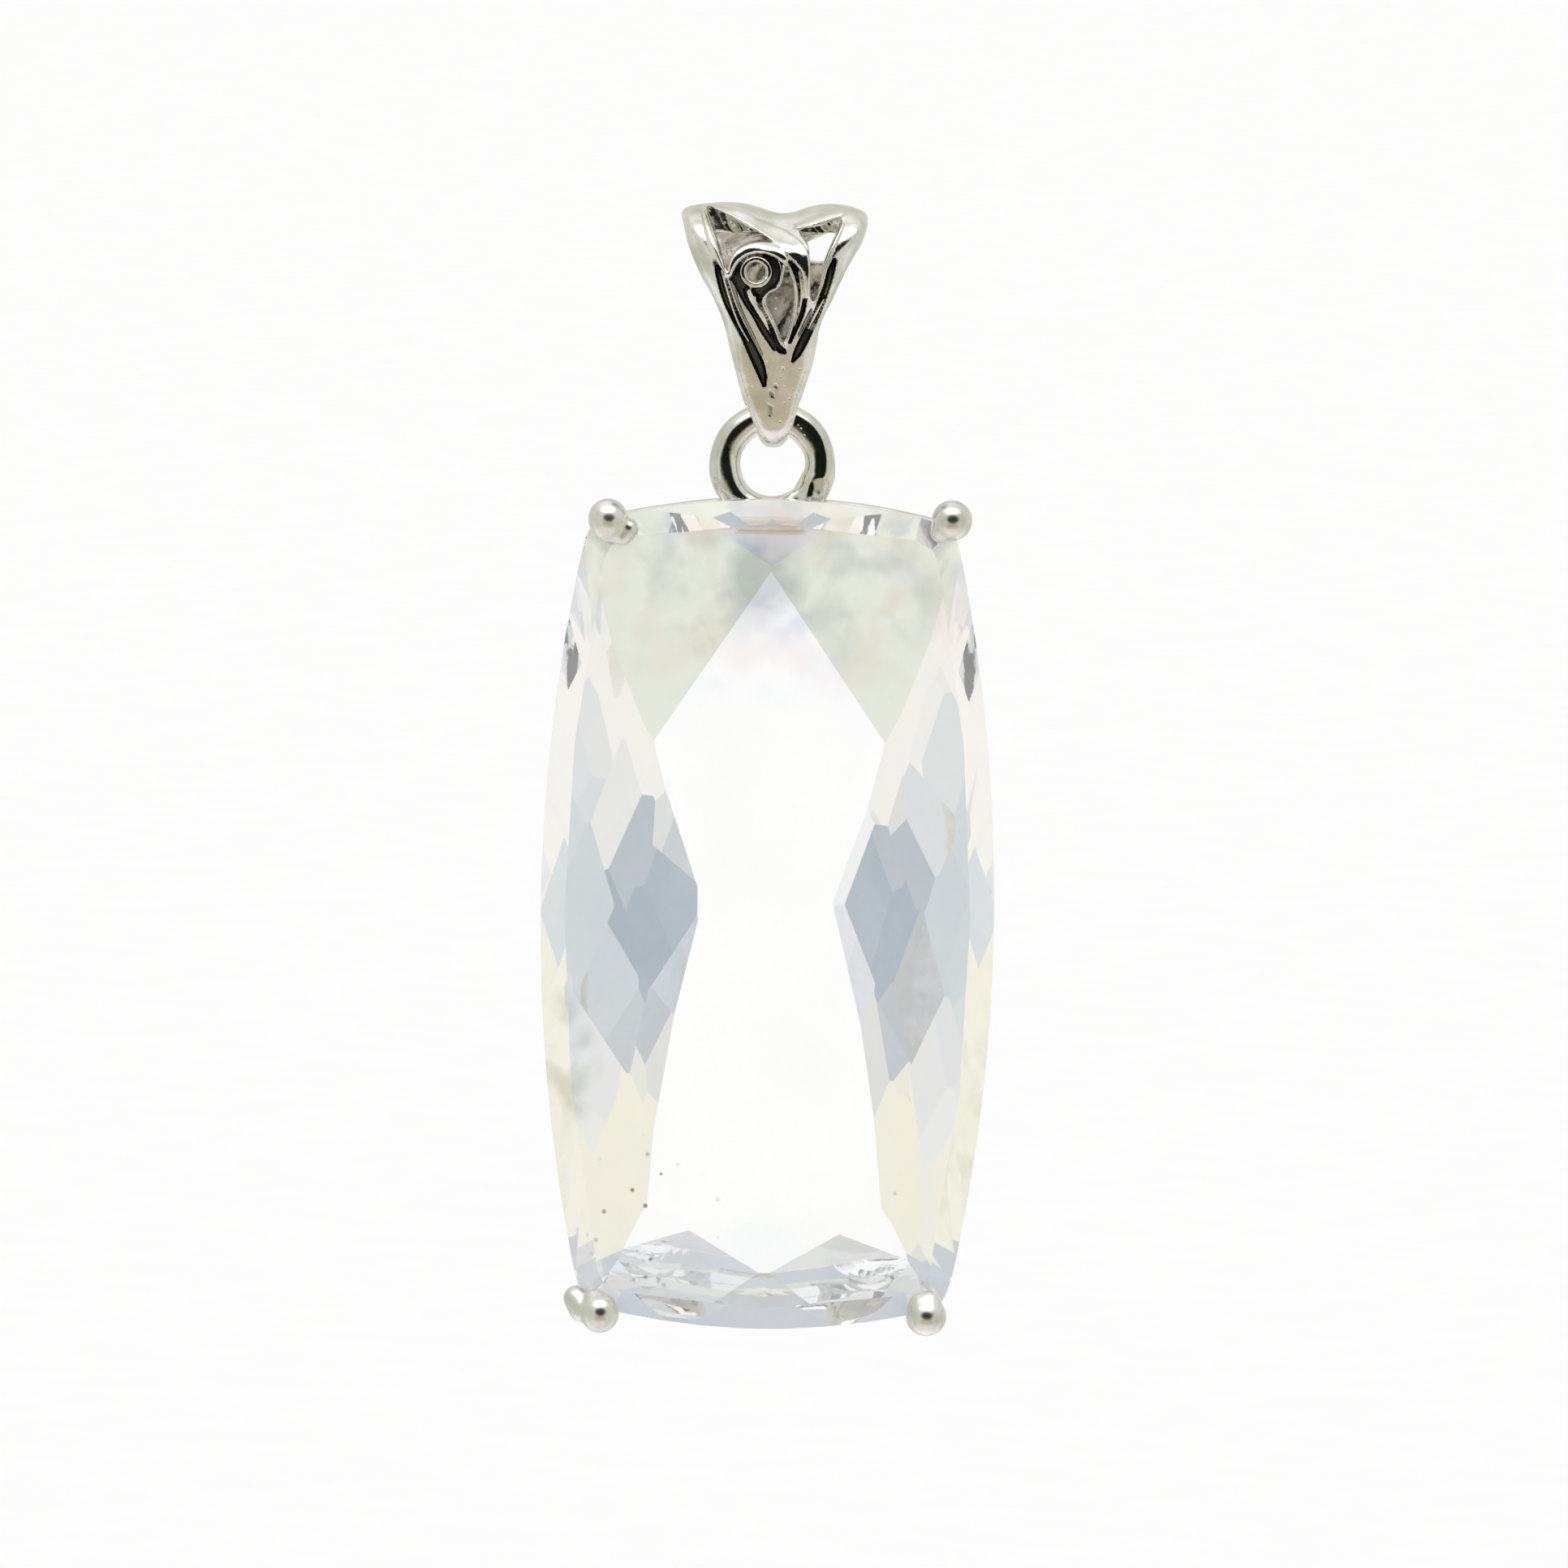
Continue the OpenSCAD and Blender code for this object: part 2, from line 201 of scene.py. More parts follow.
# Raised bars on the front leaf: crest height over the leaf, fall to the edge, and rows of x, z, half-width.
BARS = {
    "stem": (0.04, 0.16, [(-1.0, -2.22, 0.14), (-0.72, -2.8, 0.13), (-0.45, -3.25, 0.12),
                          (-0.22, -3.72, 0.06)]),
    "drop rim, left": (0.06, 0.2, [(0.42, -0.95, 0.07), (0.36, -1.5, 0.08), (0.18, -1.98, 0.08),
                                   (-0.18, -2.2, 0.08), (-0.42, -2.46, 0.08), (-0.42, -2.75, 0.08),
                                   (-0.22, -3.12, 0.08), (0.0, -3.6, 0.08), (0.24, -4.2, 0.08),
                                   (0.42, -4.42, 0.08)]),
    "drop rim, right": (0.06, 0.2, [(0.44, -0.95, 0.07), (0.72, -1.5, 0.08), (0.88, -2.2, 0.08),
                                    (0.85, -2.95, 0.08), (0.7, -3.65, 0.08), (0.46, -4.4, 0.08)]),
    "ridge, left": (-0.05, 0.14, [(-2.1, -1.35, 0.06), (-1.86, -2.2, 0.07), (-1.6, -3.02, 0.07),
                                  (-1.34, -3.62, 0.07), (-1.0, -4.2, 0.05)]),
    "ridge, sweep": (-0.04, 0.14, [(0.95, -1.4, 0.05), (1.07, -2.1, 0.07), (1.03, -2.8, 0.07),
                                   (0.78, -3.6, 0.05)]),
    "ridge, right": (-0.02, 0.14, [(1.95, -2.5, 0.05), (1.64, -3.12, 0.08), (1.36, -3.68, 0.05)]),
    "rail edge, left": (0.12, 0.3, [(-2.85, 0.85, 0.14), (-2.66, 0.25, 0.22), (-2.42, -0.4, 0.26),
                                    (-2.16, -1.0, 0.2), (-1.95, -1.45, 0.08)]),
    "rail edge, right": (0.1, 0.22, [(2.66, 0.45, 0.14), (2.34, -0.3, 0.14), (2.08, -0.9, 0.12),
                                     (1.9, -1.5, 0.09), (1.8, -2.1, 0.08), (1.62, -2.65, 0.06)]),
    "tongue edge, left": (0.03, 0.12, [(-1.4, -5.3, 0.08), (-1.12, -6.3, 0.12), (-0.84, -7.2, 0.1)]),
    "tongue edge, right": (0.03, 0.12, [(1.3, -5.4, 0.08), (1.04, -6.3, 0.12), (0.8, -7.2, 0.1)]),
}
# Cut lines on the front leaf: depth, and rows of x, z, half-width.
CUTS = {
    "left": (0.4, [(-2.36, -0.98, 0.05), (-2.18, -1.4, 0.18), (-1.98, -2.05, 0.23), (-1.76, -2.7, 0.22),
                   (-1.46, -3.35, 0.2), (-1.1, -4.05, 0.2), (-0.78, -4.7, 0.24), (-0.5, -5.35, 0.22),
                   (-0.36, -5.95, 0.1)]),
    "blade, left": (0.2, [(-1.72, -1.6, 0.1), (-1.52, -2.35, 0.08), (-1.24, -3.1, 0.07),
                          (-0.86, -3.9, 0.08), (-0.5, -4.7, 0.08)]),
    "blade, right": (0.36, [(-1.62, -1.62, 0.2), (-1.34, -2.1, 0.17), (-1.1, -2.6, 0.15),
                            (-0.75, -3.15, 0.14), (-0.4, -3.75, 0.16), (0.05, -4.45, 0.14)]),
    "stem, right": (0.42, [(-0.5, -2.2, 0.2), (-0.56, -2.6, 0.16), (-0.35, -3.1, 0.15),
                           (-0.08, -3.65, 0.15), (0.22, -4.4, 0.2), (0.42, -4.62, 0.1)]),
    "sweep": (0.4, [(0.6, -0.98, 0.12), (0.86, -1.22, 0.22), (1.06, -1.7, 0.24), (1.1, -2.3, 0.22),
                    (1.04, -2.95, 0.2), (0.84, -3.6, 0.15), (0.62, -4.2, 0.1)]),
    "right": (0.4, [(2.36, -0.92, 0.1), (2.22, -1.35, 0.16), (2.08, -1.9, 0.15), (1.86, -2.6, 0.15),
                    (1.55, -3.35, 0.17), (1.24, -4.0, 0.2), (0.95, -4.62, 0.18), (0.76, -4.98, 0.08)]),
    "right, inner": (0.22, [(1.46, -2.9, 0.06), (1.25, -3.4, 0.09), (0.98, -3.95, 0.06)]),
    "tongue crease": (0.07, [(-0.28, -5.0, 0.06), (-0.3, -5.6, 0.09), (-0.36, -6.1, 0.05)]),
}
# Where the casting stayed pitted on the tongue, as a line of x, z, half-width
PITTED = curve_through([(0.36, -5.3, 0.07), (0.18, -5.85, 0.1), (-0.06, -6.25, 0.14), (-0.12, -6.7, 0.17),
                        (-0.12, -7.1, 0.1)])
PIT_DEEP = 0.035
# The lowest that the front leaf's work reaches under its plain surface
LOWEST = -1.0
# Fillets where bars and bands rise from the leaf, and the rounding of a band's edge
BAR_FILLET, BAND_FILLET, BAND_ROUND = 0.05, 0.02, 0.03
# The dip in the crown: depth, place and half-width
SADDLE_DEEP, SADDLE_X, SADDLE_W = 0.45, 0.3, 1.13
# Rounding of the edges of the bore, the front windows, the back window, the tube's hole and the ring's room
BORE_EDGE, WINDOW_EDGE, BACK_EDGE, HOLE_EDGE, ROOM_EDGE = 0.16, 0.1, 0.2, 0.06, 0.08
ROOM_HALF_W = 1.05
# Where the front windows end under the crest, and where the back one begins behind it
FRONT_WINDOWS_TO, BACK_WINDOW_FROM = -0.4, 0.35
BAND_LINES = [(slope, curve_through(rows)) for slope, rows in BANDS.values()]
BAR_LINES = [(crest, fall, curve_through(rows)) for crest, fall, rows in BARS.values()]
CUT_LINES = [(depth, curve_through(rows)) for depth, rows in CUTS.values()]


def teardrop(y, z, top_r, top_z, low_r, low_z):
    """Distance from the teardrop round a large circle above and a small one below."""
    tall = top_z - low_z
    lean = (low_r - top_r) / tall
    level = math.sqrt(1 - lean * lean)
    out, up = np.abs(y), z - low_z
    height = level * up - lean * out
    side = level * out + lean * up - low_r
    below = np.hypot(out, up) - low_r
    above = np.hypot(out, up - tall) - top_r
    return np.where(height < 0, below, np.where(height > level * tall, above, side))


def pitting(x, z):
    """1 at the bottom of the tongue's casting pits and 0 outside them."""
    grain = unevenness(x, 0, z, 0.17, 2.6) + 0.7 * unevenness(x, 0, z, 0.31, 0.9)
    return ramp(grain, -0.1, 0.7) * (1 - ramp(across(x, z, PITTED), 0.5, 1.3))


def front_relief(x, z):
    """Height of the worked front leaf over its plain surface."""
    height = 0.012 * unevenness(x, 0, z, 1.3, 0.7) + 0.007 * unevenness(x, 0, z, 0.5, 1.9)
    for depth, line in CUT_LINES:
        height = np.minimum(height, -depth * np.clip(1 - across(x, z, line) ** 4, 0, 1))
    from_tube = np.hypot(x - TUBE_X, z - TUBE_Z)
    height = np.minimum(height, -MOAT_DEEP * (1 - ramp(from_tube, MOAT_R - 0.1, MOAT_R + 0.02)))
    for crest, fall, line in BAR_LINES:
        bar = np.maximum(crest - fall * across(x, z, line) ** 2, LOWEST)
        height = -joined(-height, -bar, BAR_FILLET)
    for slope, line in BAND_LINES:
        inward = within(x, z, line, BAND_RIDGE)
        flank = np.where(inward > 0, BAND_STEEP, BAND_WALL) * inward
        band = np.maximum(joined(flank, BAND_EDGE + slope * inward, BAND_ROUND), LOWEST)
        height = -joined(-height, -band, BAND_FILLET)
    height = height - PIT_DEEP * pitting(x, z)
    rim = TUBE_HIGH - RIM_ROUND * np.clip(np.abs(from_tube - TUBE_RIM_R) - RIM_FLAT, 0, None) ** 2
    tube = np.where(from_tube < TUBE_R, rim, rim - TUBE_WALL * (from_tube - TUBE_R))
    return np.maximum(height, np.maximum(tube, LOWEST))


def front_share(y):
    """How much of the front leaf's work a place shows: 1 on the leaf, falling to 0 towards the crest."""
    return np.clip((-y - 0.25) / 0.4, 0, 1)


def bail_field(x, y, z):
    """The bail: a teardrop loop cut to its front outline, with the front leaf's work and all openings."""
    relief = front_relief(x, z) * front_share(y)
    saddle = SADDLE_DEEP * np.exp(-((x - SADDLE_X) / SADDLE_W) ** 2) * ramp(z, -0.7, 0.5)
    outside = teardrop(y, z, CROWN_R, CROWN_Z, EYE_R, HINGE_Z) + saddle - relief
    # The back leaf is a little uneven outside, and the bore's wall is uneven above the eye.
    outside = outside + 0.015 * unevenness(x, y, z, 1.6, 2.0) * ramp(y, -0.5, 0.3)
    inside = teardrop(y, z, CROWN_IN_R, -CROWN_IN_R, EYE_IN_R, HINGE_Z)
    inside = inside + 0.05 * unevenness(x, y, z, 0.5, 4.0) * ramp(z, -6.2, -5.2)
    # The back leaf's inner face slants where it shows through the tube's hole.
    behind_tube = np.exp(-((x - TUBE_X - 0.12) ** 2 + (z - TUBE_Z) ** 2) / 0.2) * ramp(y, 0.2, 0.8)
    inside = inside - 0.35 * (z - TUBE_Z) * behind_tube
    # The outline's edge is rounded by 0.5 at the tongue, 1.4 at mid height and 0.7 at the crown.
    rounding = 0.5 + 0.9 * ramp(z, -5.6, -3.0) - 0.7 * ramp(z, -0.9, 0.3)
    metal = trimmed(outside, from_outline(x, z, BAIL_OUTLINE), rounding)
    metal = trimmed(metal, -inside, BORE_EDGE)
    crest_wall = y - FRONT_WINDOWS_TO + 0.12 * unevenness(x, y, z, 0.42, 5.5)
    for window in (LEFT_WINDOW, RIGHT_WINDOW, DROP_WINDOW):
        opening = np.maximum(from_outline(x, z, window), crest_wall)
        metal = trimmed(metal, -opening, WINDOW_EDGE)
    opening = np.maximum(from_outline(x, z, BACK_WINDOW), BACK_WINDOW_FROM - y)
    metal = trimmed(metal, -opening, BACK_EDGE)
    from_tube = np.hypot(x - TUBE_X, z - TUBE_Z)
    metal = trimmed(metal, -np.maximum(from_tube - TUBE_HOLE_R, y), HOLE_EDGE)
    # Room for the ring's wire through its whole swing
    swing_r = np.hypot(y, z - HINGE_Z)
    clear_r = RING_MID_R - WIRE_R - PLAY
    ring_room = np.maximum(clear_r - np.hypot(swing_r - RING_MID_R, x), swing_r - EYE_R - 0.05)
    ring_room = np.maximum(ring_room, np.abs(x) - ROOM_HALF_W)
    return trimmed(metal, -ring_room, ROOM_EDGE)


def bail_recess(x, y, z):
    """How deep a place lies in the cut work, where polishing doesn't reach, and so how much its silver is
    darkened by oxide and by painted shade.
    """
    sunk = ramp(-front_relief(x, z), 0.1, 0.3) * ramp(-y, 0.6, 1.0)
    sunk = np.maximum(sunk, 0.55 * pitting(x, z) * ramp(-y, 0.3, 0.6))
    # Walls deeper than the cuts, such as the bore's, get only a little of this darkening, oxide and painted
    # shade.
    under = -teardrop(y, z, CROWN_R, CROWN_Z, EYE_R, HINGE_Z)
    return np.clip(sunk * (1 - ramp(under, 0.5, 0.75)) + 0.12 * ramp(under, 0.4, 0.7), 0, 1)


# Setting. Its fields use the stone's own axes.
def gem_axes(x, y, z):
    """How far a place lies across the stone, along it, and out of its table from the girdle."""
    return x, z - STONE_Z, GIRDLE_Y - y


# Centres of the outline's arcs: the corner arc touches the side's and the end's from inside, which gives
# its centre and the directions in which one arc takes over from the next.
SIDE_X = HALF_W - SIDE_R
END_Y = HALF_L - END_R
APART = math.hypot(SIDE_X, END_Y)
TOWARDS = ((SIDE_R - CORNER_R) ** 2 - (END_R - CORNER_R) ** 2 + APART ** 2) / (2 * APART)
ASIDE = math.sqrt((SIDE_R - CORNER_R) ** 2 - TOWARDS ** 2)
CORNER_X = SIDE_X - TOWARDS * SIDE_X / APART - ASIDE * END_Y / APART
CORNER_Y = TOWARDS * END_Y / APART - ASIDE * SIDE_X / APART
SIDE_TURN = math.asin(CORNER_Y / (SIDE_R - CORNER_R))
END_TURN = math.acos(CORNER_X / (END_R - CORNER_R))


def stone_outline(u, v):
    """Distance from the stone's outline, made of long side, corner and end arcs; below zero inside."""
    u, v = np.abs(u), np.abs(v)
    side = np.hypot(u - SIDE_X, v) - SIDE_R
    end = np.hypot(u, v - END_Y) - END_R
    corner = np.hypot(u - CORNER_X, v - CORNER_Y) - CORNER_R
    by_side = np.arctan2(v, u - SIDE_X) < SIDE_TURN
    by_end = np.arctan2(v - END_Y, u) > END_TURN
    return np.where(by_side, side, np.where(by_end, end, corner))


def ball(p, centre, r, squash=(1, 1, 1)):
    """A ball, squashed by a share along each axis."""
    off = [(a - c) / s for a, c, s in zip(p, centre, squash)]
    return np.sqrt(off[0] ** 2 + off[1] ** 2 + off[2] ** 2) - r


def rod(p, a, b, r_a, r_b):
    """A round wire from a to b, with ball ends."""
    run = np.subtract(b, a)
    t = sum((q - s) * k for q, s, k in zip(p, a, run)) / run.dot(run)
    t = np.clip(t, 0, 1)
    off = [q - s - t * k for q, s, k in zip(p, a, run)]
    return np.sqrt(off[0] ** 2 + off[1] ** 2 + off[2] ** 2) - (r_a + t * (r_b - r_a))


# The gallery rail: its section, how far it lies inside the outline and behind the girdle, and its edges
RAIL_W, RAIL_H, RAIL_IN, RAIL_BACK, RAIL_ROUND = 0.6, 0.7, 0.05, 1.2, 0.28
RAIL_Z = -GIRDLE_HALF - RAIL_BACK - RAIL_H / 2
# A prong's wire: its radius from the rail to the ball, how far its knee and shoulder stand outside the
# corner, and how far its shoulder lies under the ball's middle
ROOT_R = RAIL_H / 2 - 0.05
PRONG_R = 0.38
KNEE_R = PRONG_R + 0.04
KNEE_OUT, SHOULDER_OUT, SHOULDER_UNDER = 0.1, 0.32, 0.3
BALL_R = 0.8
BALL_Z = GIRDLE_HALF + BALL_R + PLAY
# Fillets of solder at a prong's knee, at its ball, at its root and under the ring
KNEE_FILLET, BALL_FILLET, ROOT_FILLET, RING_FILLET = 0.2, 0.22, 0.25, 0.35
# Where the ring's front is worn flat: depth, the turn from the ring's right, and the edge's rounding
FLAT_DEEP, FLAT_TURN, FLAT_EDGE = 0.08, 0.8, 0.1
# The lump of solder on the ring: how proud and how rough it is, and the size of its bumps
SOLDER_HIGH, SOLDER_ROUGH, SOLDER_BUMP = 0.03, 0.07, 0.33
# The gap that the metal keeps from the stone, and the rounding of the edge along it
STONE_GAP, STONE_EDGE = 0.06, 0.04
# Prongs: side, end, angle that it stands at, the ball's distance outside the outline, its shape,
# and the claws that were bent over beside it, each as across, along, out and radius from the ball.
PRONGS = [
    (1, 1, 55, 0.4, (1.0, 1.0, 0.98), [(-0.42, -0.5, -0.12, 0.42)]),
    (-1, 1, 76, 0.05, (0.97, 1.0, 0.98), [(0.05, -0.4, -0.15, 0.55), (0.8, -0.38, 0.0, 0.42),
                                          (0.58, -0.72, -0.02, 0.34)]),
    (1, -1, 76, 0.1, (1.0, 0.98, 0.98), [(0.1, 0.6, -0.05, 0.44), (-0.3, 0.5, -0.05, 0.36)]),
    (-1, -1, 76, 0.1, (0.95, 1.0, 0.98), [(-0.7, 0.12, -0.35, 0.55), (-0.95, 0.5, -0.5, 0.5),
                                          (-0.2, 0.6, -0.1, 0.36)]),
]


def prong_field(p, side, end, angle, ball_out, shape, claws):
    """One prong: a wire from the rail up to its ball, and the claws that were bent over beside it."""
    p = (p[0] * side, p[1] * end, p[2])
    facing = (math.cos(math.radians(angle)), math.sin(math.radians(angle)))

    def outward(far, out):
        """A place this far from the corner arc's centre, the way that the prong stands."""
        return (CORNER_X + far * facing[0], CORNER_Y + far * facing[1], out)

    root = outward(CORNER_R - RAIL_IN - RAIL_W / 2, RAIL_Z)
    knee = outward(CORNER_R + KNEE_OUT, RAIL_Z)
    shoulder = outward(CORNER_R + SHOULDER_OUT, BALL_Z - SHOULDER_UNDER)
    tip = outward(CORNER_R + ball_out, BALL_Z)
    metal = rod(p, root, knee, ROOT_R, KNEE_R)
    metal = joined(metal, rod(p, knee, shoulder, PRONG_R, PRONG_R), KNEE_FILLET)
    metal = joined(metal, ball(p, tip, BALL_R, shape), BALL_FILLET)
    for across_by, along_by, out_by, r in claws:
        claw = (tip[0] + across_by * side, tip[1] + along_by * end, tip[2] + out_by)
        metal = joined(metal, ball(p, claw, r), BALL_FILLET)
    return metal


def ring_field(x, y, z):
    """The soldered ring: a bent wire, flat in front at its upper right, with solder at its lower right."""
    out = np.hypot(x, z - RING_Z)
    turn = np.arctan2(z - RING_Z, x)
    draw = 0.012 * np.sin(3 * turn + 1.0) + 0.01 * np.sin(7 * turn)
    wire = np.hypot(out - RING_MID_R, y) - WIRE_R + draw
    flat = FLAT_DEEP * ramp(np.cos(turn - FLAT_TURN), 0.5, 0.97)
    wire = trimmed(wire, -y - WIRE_R + flat, FLAT_EDGE)
    solder = ramp(turn, -1.35, -0.75) * (1 - ramp(turn, -0.35, -0.05))
    return wire - solder * (SOLDER_HIGH + SOLDER_ROUGH * unevenness(x, y, z, SOLDER_BUMP, 1.2))


def setting_field(x, y, z):
    """The setting: the gallery rail under the stone's edge, with the ring and the prongs soldered on."""
    p = gem_axes(x, y, z)
    inset = stone_outline(p[0], p[1]) + RAIL_IN + RAIL_W / 2
    rail = trimmed(np.abs(inset) - RAIL_W / 2, np.abs(p[2] - RAIL_Z) - RAIL_H / 2, RAIL_ROUND)
    metal = joined(rail + 0.012 * unevenness(x, y, z, 1.1, 3.0), ring_field(x, y, z), RING_FILLET)
    for prong in PRONGS:
        metal = joined(metal, prong_field(p, *prong), ROOT_FILLET)
    return metal


def stone_planes():
    """The stone's facets as outward normals and distances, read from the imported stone."""
    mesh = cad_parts["stone"].data
    # A dictionary keeps each plane once, in the mesh's order.
    found = {}
    for face in mesh.polygons:
        far = face.normal.dot(mesh.vertices[face.vertices[0]].co) / MM
        found[tuple(round(n, 4) for n in face.normal) + (round(far, 3),)] = 1
    return np.array(list(found))


# Only places this near the metal's surface are tried against the facets, and so many at a time.
NEAR_SURFACE = 0.4
PLACES_AT_ONCE = 100000


def clear_of_stone(field):
    """The same field, kept a gap away from every facet of the stone."""
    planes = stone_planes()

    def clear(x, y, z):
        metal = np.array(field(x, y, z))
        at = np.nonzero(np.abs(metal) < NEAR_SURFACE)
        places = np.stack([np.broadcast_to(c, metal.shape)[at] for c in (x, y, z)], axis=-1)
        for start in range(0, len(places), PLACES_AT_ONCE):
            some = slice(start, start + PLACES_AT_ONCE)
            into = (places[some] @ planes[:, :3].T - planes[:, 3]).max(axis=1)
            where = tuple(k[some] for k in at)
            metal[where] = trimmed(metal[where], STONE_GAP - into, STONE_EDGE)
        return metal

    return clear


# Meshes: the step over which a slope is measured, the layers of a field worked out at a time, the least
# slope that a point's move allows for, the most that it moves in cells, and one face in so many tried
# for which way the faces look
SLOPE_STEP = 0.004
LAYERS_AT_ONCE = 40
LEAST_SLOPE = 0.5
MOST_MOVE = 0.4
FACES_TRIED = 50


def slopes(field, at):
    """The field at some places, and the way that it rises fastest there."""
    here = field(*at.T)
    rise = np.empty_like(at)
    for k in range(3):
        ahead, behind = at.copy(), at.copy()
        ahead[:, k] += SLOPE_STEP
        behind[:, k] -= SLOPE_STEP
        rise[:, k] = (field(*ahead.T) - field(*behind.T)) / (2 * SLOPE_STEP)
    return here, rise


def metal_mesh(name, field, low, high, cell, recess=None):
    """A mesh of the surface where the field is zero, with the field's own slopes as its shading normals."""
    axes = [np.arange(a, b, cell) for a, b in zip(low, high)]
    values = np.empty([len(a) for a in axes], np.float32)
    for start in range(0, len(axes[2]), LAYERS_AT_ONCE):
        slab = slice(start, start + LAYERS_AT_ONCE)
        x, y, z = np.meshgrid(axes[0], axes[1], axes[2][slab], indexing="ij", sparse=True)
        values[:, :, slab] = field(x, y, z)
    grid = openvdb.FloatGrid()
    grid.background = 1.0
    grid.copyFromArray(values)
    points, triangles, quads = grid.convertToPolygons(0.0, 0.0)
    at = points.astype(float) * cell + np.array(low)
    here, rise = slopes(field, at)
    steep = np.maximum((rise ** 2).sum(axis=1), LEAST_SLOPE ** 2)
    at -= np.clip(here / steep, -MOST_MOVE * cell, MOST_MOVE * cell)[:, None] * rise
    here, rise = slopes(field, at)
    rise /= np.maximum(np.linalg.norm(rise, axis=1), 1e-6)[:, None]
    faces = [list(f) for f in quads.tolist()] + [list(f) for f in triangles.tolist()]
    mesh = bpy.data.meshes.new(name)
    mesh.from_pydata((at * MM).tolist(), [], faces)
    tried = list(mesh.polygons)[::FACES_TRIED]
    facing = np.mean([Vector(rise[f.vertices[0]]).dot(f.normal) for f in tried])
    if facing < 0:
        mesh.flip_normals()
    mesh.shade_smooth()
    mesh.normals_split_custom_set_from_vertices(rise.tolist())
    # The recess depth at each point, which darkens the silver with oxide and painted shade.
    if recess is not None:
        depths = mesh.attributes.new("recess", "FLOAT", "POINT")
        depths.data.foreach_set("value", recess(*at.T).astype(np.float32))
    made = bpy.data.objects.new(name, mesh)
    bpy.context.scene.collection.objects.link(made)
    print(name, len(mesh.vertices), "points,", sum(len(f) - 2 for f in faces), "triangles")
    return made


# Materials
def linear(hex_colour):
    """An sRGB hex value as a linear colour."""
    shares = [int(hex_colour[k:k + 2], 16) / 255 for k in (1, 3, 5)]
    return tuple(c / 12.92 if c <= 0.04045 else ((c + 0.055) / 1.055) ** 2.4 for c in shares) + (1.0,)


def node(tree, kind, inputs=None, **settings):
    """Adds one node. Inputs, by socket name or number, are values to set or sockets to link."""
    made = tree.nodes.new(kind)
    for key, value in settings.items():
        setattr(made, key, value)
    for key, value in (inputs or {}).items():
        if isinstance(value, bpy.types.NodeSocket):
            tree.links.new(value, made.inputs[key])
        else:
            made.inputs[key].default_value = value
    return made


# Sockets of a node that mixes two colours: its share, first and second colour, and its result
SHARE, FIRST, SECOND, MIXED = 0, 6, 7, 2
WHITE = linear("#FFFFFF")


def new_material(name):
    """A material without nodes, and its tree."""
    made = bpy.data.materials.new(name)
    made.use_nodes = True
    made.node_tree.nodes.clear()
    return made, made.node_tree


def in_millimetres(tree):
    """Places on the piece in millimetres, so that a pattern's scale is one over its size."""
    place = node(tree, "ShaderNodeTexCoord").outputs["Object"]
    return node(tree, "ShaderNodeVectorMath", {0: place, "Scale": 1 / MM}, operation="SCALE").outputs[0]


def how_far(tree, place, centre, size):
    """How far a place or a direction lies from a centre, measured by a size along each axis."""
    off = node(tree, "ShaderNodeVectorMath", {0: place, 1: centre}, operation="SUBTRACT")
    scaled = node(tree, "ShaderNodeVectorMath", {0: off.outputs[0], 1: size}, operation="DIVIDE")
    return node(tree, "ShaderNodeVectorMath", {0: scaled.outputs[0]}, operation="LENGTH").outputs["Value"]


